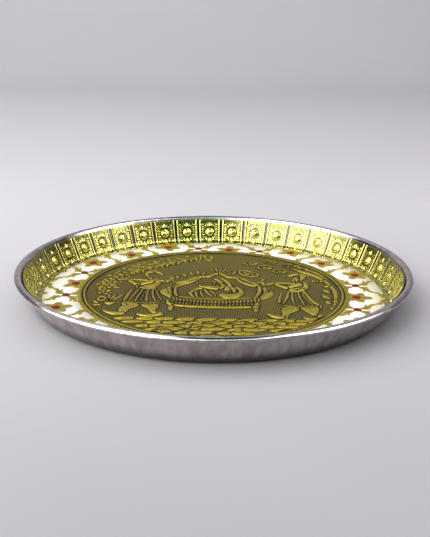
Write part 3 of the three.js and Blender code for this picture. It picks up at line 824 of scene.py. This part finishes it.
def draw_canopy(pen):
    """The leafy canopy inside the upper left border: scallops with a bright berry under each, over
    rows of small leaves, and the rope-like stem that carries it down the left side."""
    pen.relief.moat = canopy_moat
    for number in range(74):
        a = 95 + 1.2 * number
        far = 91.2 - 4 * (number % 4) + 1.4 * sin(5.3 * number)
        lean = a + 180 + 64 * sin(2.7 * number)
        leaf(pen, *polar(far, a), lean, 5.4 + 1.6 * sin(3.1 * number), 2.9, 0.36 + 0.06 * sin(7 * number))
    pen.relief.moat = picture_moat
    rope = [(-13, 90), (-19.6, 82), (-27, 75.4), (-37, 67.6), (-45.6, 60.6), (-54, 53.6),
            (-63.6, 45), (-72, 35.4), (-78.4, 24.4), (-82, 12), (-84, -2), (-83.4, -16)]
    for first, second in zip(rope[:8], rope[1:8]):
        middle = ((first[0] + second[0]) / 2 + 1.6, (first[1] + second[1]) / 2 + 2.4)
        pen.line([first, middle, second], [1.2, 1.8, 1.2], 0.55, 0.7)
        pen.line([second, (second[0] + 3.4, second[1] + 1.4)], [2.6, 1.4], 0.72, 1.0)
        pen.dot(middle[0] + 1.4, middle[1] - 3.6, 2.6, 0.72)
        pen.dot(second[0] + 2.4, second[1] - 2.8, 2.2, 0.72)
    pen.line(rope[6:], [2.0, 2.8, 3.2, 3.2, 2.8, 1.6], 0.64, 1.1)
    stem_x, stem_y = zip(*rope[7:])
    for number in range(9):
        share = 4 * number / 8
        x, y = np.interp(share, range(5), stem_x), np.interp(share, range(5), stem_y)
        leaf(pen, x + 1.4, y, 14 + 26 * sin(2.3 * number), 4.6 + sin(4.1 * number), 2.4)
        leaf(pen, x - 1.6, y + 1, 156 + 26 * sin(3.1 * number), 4.2 + sin(5.3 * number), 2.2)


def draw_stem(pen):
    """The thick bowed stem inside the right border, with leaves on its inner side."""
    stem = [(60, 60), (70, 51.4), (78.6, 43.4), (85.4, 33.6), (90, 22), (93, 9), (93.6, -5), (92.8, -14)]
    pen.line(stem, [1.4, 3.0, 3.6, 3.6, 3.2, 3.2, 2.8, 1.6], 0.66, 1.2)
    pen.line([(66, 64), (76.6, 55.6), (85, 44), (90.4, 33)], [1.6, 2.0, 2.0, 1.0], 0.55, 0.8)
    for x, y, lean, length, width in (
            (62, 67, 20, 7, 2.6), (70, 61, 10, 6, 2.4), (59, 63, 130, 6, 2.6), (66, 56, 150, 5, 2.2),
            (84, 9.6, -48, 10.4, 4.0), (83, -3.4, -50, 11, 4.4), (86, -17, -60, 5.4, 4.4),
            (90, 18, 200, 6, 2.2), (80.6, 27, 80, 6, 2.2), (82.4, 27.6, 50, 5.4, 2.0),
            (78.6, 27, 110, 5.4, 2.0), (95, 24, 60, 5, 2.0)):
        leaf(pen, x, y, lean, length, width)
    pen.line([(92.8, -16.4), (92.6, -20)], [3.6, 2.6], 0.64, 1.0)
    pen.line([(92.4, -23.6), (92.2, -28.6)], [3.8, 1.6], 0.64, 1.0)


def draw_fan(pen, x, y, across):
    """A fan of rays under a thin arch, whose lower ends are bright."""
    for number in range(7):
        a = 200 + 140 / 6 * number
        dx, dy = polar(across / 2, a)
        pen.line([(x + 0.35 * dx, y + 0.35 * dy), (x + dx, y + dy)], [0.8, 1.5], 0.6, 0.5, False)
    arch = [(x + 0.9 * polar(across / 2, a)[0], y + 0.9 * polar(across / 2, a)[1]) for a in range(0, 181, 30)]
    pen.line(arch, 0.9, 0.35)
    pen.dot(x, y, 0.22 * across, 0.4)


def draw_cobbles(pen):
    """Rows of wedge-shaped cobbles that rise a little to the right. No two are quite alike."""
    pen.relief.moat = cobble_moat
    pitch, rise, top, slope = 14.4, 6.3, -62.6, 0.05
    for row in range(6):
        for number in range(-6, 7):
            seed = 3.7 * row + 1.9 * number
            x = (number + 0.5 * (row % 2) + 0.16 * sin(5 * seed)) * pitch
            y = top - row * rise + slope * x + 0.7 * sin(3 * seed)
            if hypot(x, y) > 95:
                continue
            tilt = 1.7 + 0.7 * sin(7 * seed)
            high = 6.2 + 0.6 * sin(2 * seed)
            wedge = [(x + run, y + share * tilt)
                     for run, share in ((-9, -1), (-3.4, -0.4), (3.4, 0.4), (9, 1))]
            pen.line(wedge, [0.1, 0.9 * high, 0.84 * high, 0.1], 0.66, 3.0)


pen = Drawing(picture)
draw_cobbles(pen)
draw_canopy(pen)
draw_stem(pen)
draw_left_bearer(pen)
draw_right_bearer(pen)
draw_litter(pen)
draw_rider(pen)
for fan_x, fan_y, fan_size in ((26, 73, 12.4), (38, 62, 12.4), (51, 53, 12.0), (43, 78, 10), (58, 70, 8)):
    draw_fan(pen, fan_x, fan_y, fan_size)
pen.line(
    [(18, 50), (18.6, 43.6), (24, 37.8), (31, 36.4), (33.4, 40.4), (29, 47), (22, 51), (18, 50)], 1.5, 0.5)
for foot_x, foot_y, lean, length, width in (
        (21, 47, -40, 9, 2.2), (23, 41, 40, 7, 1.8), (28, 38.6, 70, 6, 1.8),
        (-15, 38, 100, 11, 2.4), (-19, 36, 120, 9, 2.2), (-11.6, 37, 80, 9, 2.0), (-24, 32, 130, 7, 2.2),
        (12, 40, 70, 10, 2.2), (-30, 26, 110, 8, 2.2), (-33, 24, 140, 7, 2.0), (36, 26, 60, 7, 2.0),
        (-75, -30, 104, 16, 2.6), (-75, -29, 84, 15, 2.6), (-73.6, -30, 66, 16, 2.4), (-77, -31, 128, 9, 2.2),
        (-83, -36, 150, 6, 2.2), (-80, -40, 190, 8, 2.2), (-84, -44, 160, 5, 1.8), (88, -34, 60, 7, 2.2)):
    leaf(pen, foot_x, foot_y, lean, length, width)
pen.line([(-78, -35.4), (-74.6, -37), (-71.8, -34.6)], [2.0, 4.0, 2.0], 0.62, 1.2)
pen.line([(-83, -23), (-79.4, -26), (-80, -30.6), (-84.4, -30), (-84.6, -25), (-83, -23)], 1.6, 0.6)

picture.height = np.clip(picture_depth * picture.height, -0.2, picture_top)
picture_x, picture_y, picture_faces = disc_faces(picture.x, picture.y, -1, picture_radius)
medallion_picture = pressed(
    "medallion_picture", picture, picture_x, picture_y, picture_faces, field_top, antique, picture_radius)
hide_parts("medallion")
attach(medallion_picture, "root")


# The wall band: one long gilt strip, pressed with 42 alike panels, then rolled into a ring and sprung
# into the tray, so its toe holds down the enamel's edge. Twin ribs part the panels, and each panel
# has a boss between two buds, in curling foliage on a dark ground.
panel_count = 42
band_sheet = 0.6
ring_radius = 130.5
toe_lap = 1.0
band_corner = 5.0
band_top = 22.0
rib_inset = 1.85
boss_radius = 3.5
boss_height = 1.3
boss_collar = 2.128
boss_above_table = 11.4
panel_columns = 42
panel_rows = 48
panel_moat = 0.7
back_rows = 5
panel_radius = 137
panel_half = pi * panel_radius / panel_count

layer_radius = ring_radius + toe_lap
toe_mid = enamel_top + band_sheet / 2
corner_centre = (layer_radius, toe_mid + band_corner)
corner_length = band_corner * (pi / 2 - wall_lean)
slope_foot = (
    corner_centre[0] + band_corner * wall_out[0], corner_centre[1] + band_corner * wall_out[1])
slope_length = (band_top - slope_foot[1]) / cos(wall_lean)
band_length = toe_lap + corner_length + slope_length


def band_point(along):
    """The band's middle line at a length from its toe: radius, height and the outward normal."""
    if along < toe_lap:
        return ring_radius + along, toe_mid, 0, -1
    if along < toe_lap + corner_length:
        angle = -pi / 2 + (along - toe_lap) / band_corner
        return (corner_centre[0] + band_corner * cos(angle), corner_centre[1] + band_corner * sin(angle),
                cos(angle), sin(angle))
    rest = along - toe_lap - corner_length
    return (slope_foot[0] + rest * sin(wall_lean), slope_foot[1] + rest * cos(wall_lean), *wall_out)


def draw_panel(panel):
    """One panel, drawn upright: its toe at height 0, its top at the band's length."""
    rib = panel_half - rib_inset
    boss = toe_lap + corner_length + (boss_above_table - slope_foot[1]) / cos(wall_lean)
    top = band_length
    for side in (-1, 1):
        panel.stroke([(side * panel_half, 0), (side * panel_half, top)], 1.9, -0.15, 0.4)
        panel.stroke([(side * rib, 0.2), (side * rib, top - 0.2)], 1.2, 0.42, 0.6)

        def curl(x, y, size, start, turns, width=0.9):
            spiral = []
            for step in range(10):
                angle = radians(start + turns * 360 * step / 9)
                far = size * (1 - 0.75 * step / 9)
                spiral.append((side * (x + far * cos(angle)), y + far * sin(angle)))
            panel.stroke(spiral, width, 0.22, 0.5, False)

        def spray(points, widths, lift=0.25):
            panel.stroke([(side * x, boss + y) for x, y in points], widths, lift, 0.6)

        curl(5.6, boss + 4.4, 1.5, 200, 0.9)
        curl(5.9, boss - 0.2, 1.4, 150, -0.9)
        curl(5.6, boss - 4.8, 1.5, 160, 0.9)
        curl(2.6, boss - 10.6, 1.4, 100, -0.9)
        curl(6.2, boss - 9.4, 1.3, 120, 0.9)
        spray([(0.8, 4.6), (2.4, 5.2), (3.4, 7.4)], [0.9, 1.5, 0.6])
        spray([(3.0, 4.0), (3.8, 6.0)], [0.6, 1.2])
        spray([(4.6, 2.0), (6.2, 2.6), (7.2, 1.8)], [0.6, 1.4, 0.5])
        spray([(4.4, -2.2), (5.8, -2.8), (7.2, -2.2)], [0.6, 1.4, 0.5])
        spray([(2.8, -4.6), (3.4, -6.6), (2.6, -8.2)], [0.6, 1.4, 0.5])
        spray([(4.2, -7.2), (6.0, -7.4), (7.2, -6.2)], [0.5, 1.3, 0.5])
        spray([(4.4, -9.0), (4.6, -11.4)], [1.3, 0.5])
        spray([(5.0, 7.4), (6.8, 6.6)], [0.7, 1.4])
        spray([(7.2, -12.2), (5.4, -12.8), (3.6, -12.6)], [0.5, 1.2, 0.5])
    panel.stroke([(-2.4, boss + 7.6), (-1.5, boss + 5.6), (0, boss + 4.7)], [0.6, 1.2, 0.8], 0.4, 0.6)
    panel.stroke([(2.4, boss + 7.6), (1.5, boss + 5.6), (0, boss + 4.7)], [0.6, 1.2, 0.8], 0.4, 0.6)
    panel.stroke([(0, boss + 8.4), (0, boss + 6.0)], [0.8, 1.8], 0.7, 0.8)
    panel.patch([(-1.9, boss - 8.6), (1.9, boss - 8.6), (0, boss - 4.8)], 0.85, 1.2)
    panel.stroke([(-1.6, boss - 12.4), (0, boss - 10.2), (1.6, boss - 12.4)], [0.7, 1.1, 0.7], 0.5, 0.5)
    panel.dot(0, boss, 2 * boss_radius, boss_height, boss_radius)
    collar = [(boss_collar * cos(a), boss + boss_collar * sin(a)) for a in np.linspace(0, 2 * pi, 25)]
    panel.stroke(collar, 0.5, -0.16, 0.3, False)


panel_x, panel_y = np.meshgrid(
    np.linspace(-panel_half, panel_half, panel_columns + 1), np.linspace(0, band_length, panel_rows + 1))
panel = Relief(panel_x, panel_y, panel_moat)
draw_panel(panel)
panel.height[0] = 0
panel.height[-1] = 0
band_height = np.tile(panel.height[:, :-1], (1, panel_count))
band_gilt = np.tile(panel.gilt[:, :-1], (1, panel_count))
front = np.array([band_point(along) for along in panel_y[:, 0]])
back = np.array([band_point(along) for along in np.linspace(band_length, 0, back_rows)])
band_angles = np.arange(panel_columns * panel_count) * 2 * pi / (panel_columns * panel_count)


def band_surface(line, lift):
    """Points at a lift inward from the band's middle line, for every angle."""
    r = line[:, 0, None] - line[:, 2, None] * lift
    z = line[:, 1, None] - line[:, 3, None] * lift
    return np.stack([r * np.cos(band_angles), r * np.sin(band_angles), z], -1)


flat_back = np.zeros((len(back), len(band_angles)))
band_points = np.concatenate([
    band_surface(front, band_sheet / 2 + band_height), band_surface(back, flat_back - band_sheet / 2)])
rows, columns = band_points.shape[:2]
row, column = np.meshgrid(np.arange(rows), np.arange(columns), indexing="ij")
after_row, after_column = (row + 1) % rows, (column + 1) % columns
band_faces = np.stack([
    row * columns + column, row * columns + after_column,
    after_row * columns + after_column, after_row * columns + column], -1).reshape(-1, 4)

gilt_bright, bright_shader, wire = finish("bright_gilt", Coat_Weight=0.5, Coat_Roughness=0.12, Coat_IOR=1.8)
grain = wire.noise(1.5, 3, roughness=0.65)
wash_and_shade = wire.node("ShaderNodeAttribute", {"attribute_name": "gilt"}, out=2)
shown = wash_and_shade.ramp(-0.1, 0.8)
# thick darkens the panel grooves and the moats round the raised forms: dark antiquing, and partly painted
# shade.
thick = (-1 * wash_and_shade).ramp(0.1, 0.9)
ground = wire.mix(tint(66, 63, 4), tint(178, 170, 46), grain.ramp(0.44, 0.62))
highs = wire.mix(tint(232, 214, 44), tint(255, 246, 124), grain)
shade = wire.mix(wire.mix(ground, highs, shown), tint(6, 7, 3), thick)
wire.join(shade, bright_shader.inputs["Base Color"])
wire.join(0.92 - 0.7 * thick, bright_shader.inputs["Metallic"])
wire.join(0.14 + 0.08 * grain, bright_shader.inputs["Roughness"])
wire.join(wire.bump(grain, 0.05), bright_shader.inputs["Normal"])
wall_band = skin("embossed_wall_band", band_points.reshape(-1, 3), band_faces, gilt_bright)
gilt = wall_band.data.attributes.new("gilt", "FLOAT", "POINT")
gilt.data.foreach_set(
    "value", np.concatenate([band_gilt, flat_back]).ravel().astype(np.float32))
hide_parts("wall_band")
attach(wall_band, "root")


# The studio: soft boxes at the left, the right, behind, above and in front light the tray evenly. Four
# more panels show only as glare in its metal: white ones at the left, over it and at the right, and a
# small cool one in front. The air round them is dim, and dimmer still where metal mirrors it.
def softbox(name, place, size, power, colour, in_metal=True, on_matt=True):
    """A soft box at a place round the tray, in the camera's own turn, that faces the tray."""
    lamp = bpy.data.lights.new(name, "AREA")
    lamp.shape = "RECTANGLE"
    lamp.size, lamp.size_y = (side / 1000 for side in size)
    lamp.energy = power
    lamp.color = colour
    box = bpy.data.objects.new(name, lamp)
    bpy.context.scene.collection.objects.link(box)
    box.visible_glossy = in_metal
    box.visible_diffuse = on_matt
    at = Vector(place) / 1000
    box.matrix_world = turned @ Matrix.Translation(at) @ (-at).to_track_quat("-Z", "Y").to_matrix().to_4x4()


softbox("left_light_wall", (-1040, -485, 800), (2100, 1500), 28, (1, 1, 1))
softbox("left_back_softbox", (-864, 864, 1455), (1800, 1400), 5, (1, 0.99, 0.98))
softbox("right_light_wall", (1130, -200, 800), (1670, 1500), 4.5, (1, 1, 1))
softbox("right_back_softbox", (864, 864, 1455), (1800, 1400), 2, (1, 0.99, 1))
softbox("top_softbox", (0, 100, 2000), (1400, 1600), 9, (1, 1, 1), in_metal=False)
softbox("cool_glare", (160, -760, 1150), (900, 600), 4, (0.62, 1, 0.95), on_matt=False)
softbox("front_softbox", (-500, -1500, 1700), (1800, 900), 16, (1, 1, 1), in_metal=False)
softbox("left_glare", (-900, -620, 1000), (1700, 1500), 18, (1, 1, 1), on_matt=False)
softbox("roof_glare", (-1080, 60, 1500), (1500, 1800), 24, (1, 1, 1), on_matt=False)
softbox("right_glare", (1080, -40, 1250), (1200, 1400), 24, (1, 1, 1), on_matt=False)

world = bpy.data.worlds.new("studio")
bpy.context.scene.world = world
world.use_nodes = True
air = Wire(world.node_tree)
background = next(node for node in world.node_tree.nodes if node.type == "BACKGROUND")
seen = air.node("ShaderNodeLightPath", out=0)
mirrored = air.node("ShaderNodeLightPath", out=3)
air.join(
    air.mix(air.mix(tint(128, 128, 130), tint(78, 80, 82), mirrored), table_colour, seen),
    background.inputs["Color"])
background.inputs["Strength"].default_value = 1.0
bpy.context.scene.view_settings.view_transform = "Standard"
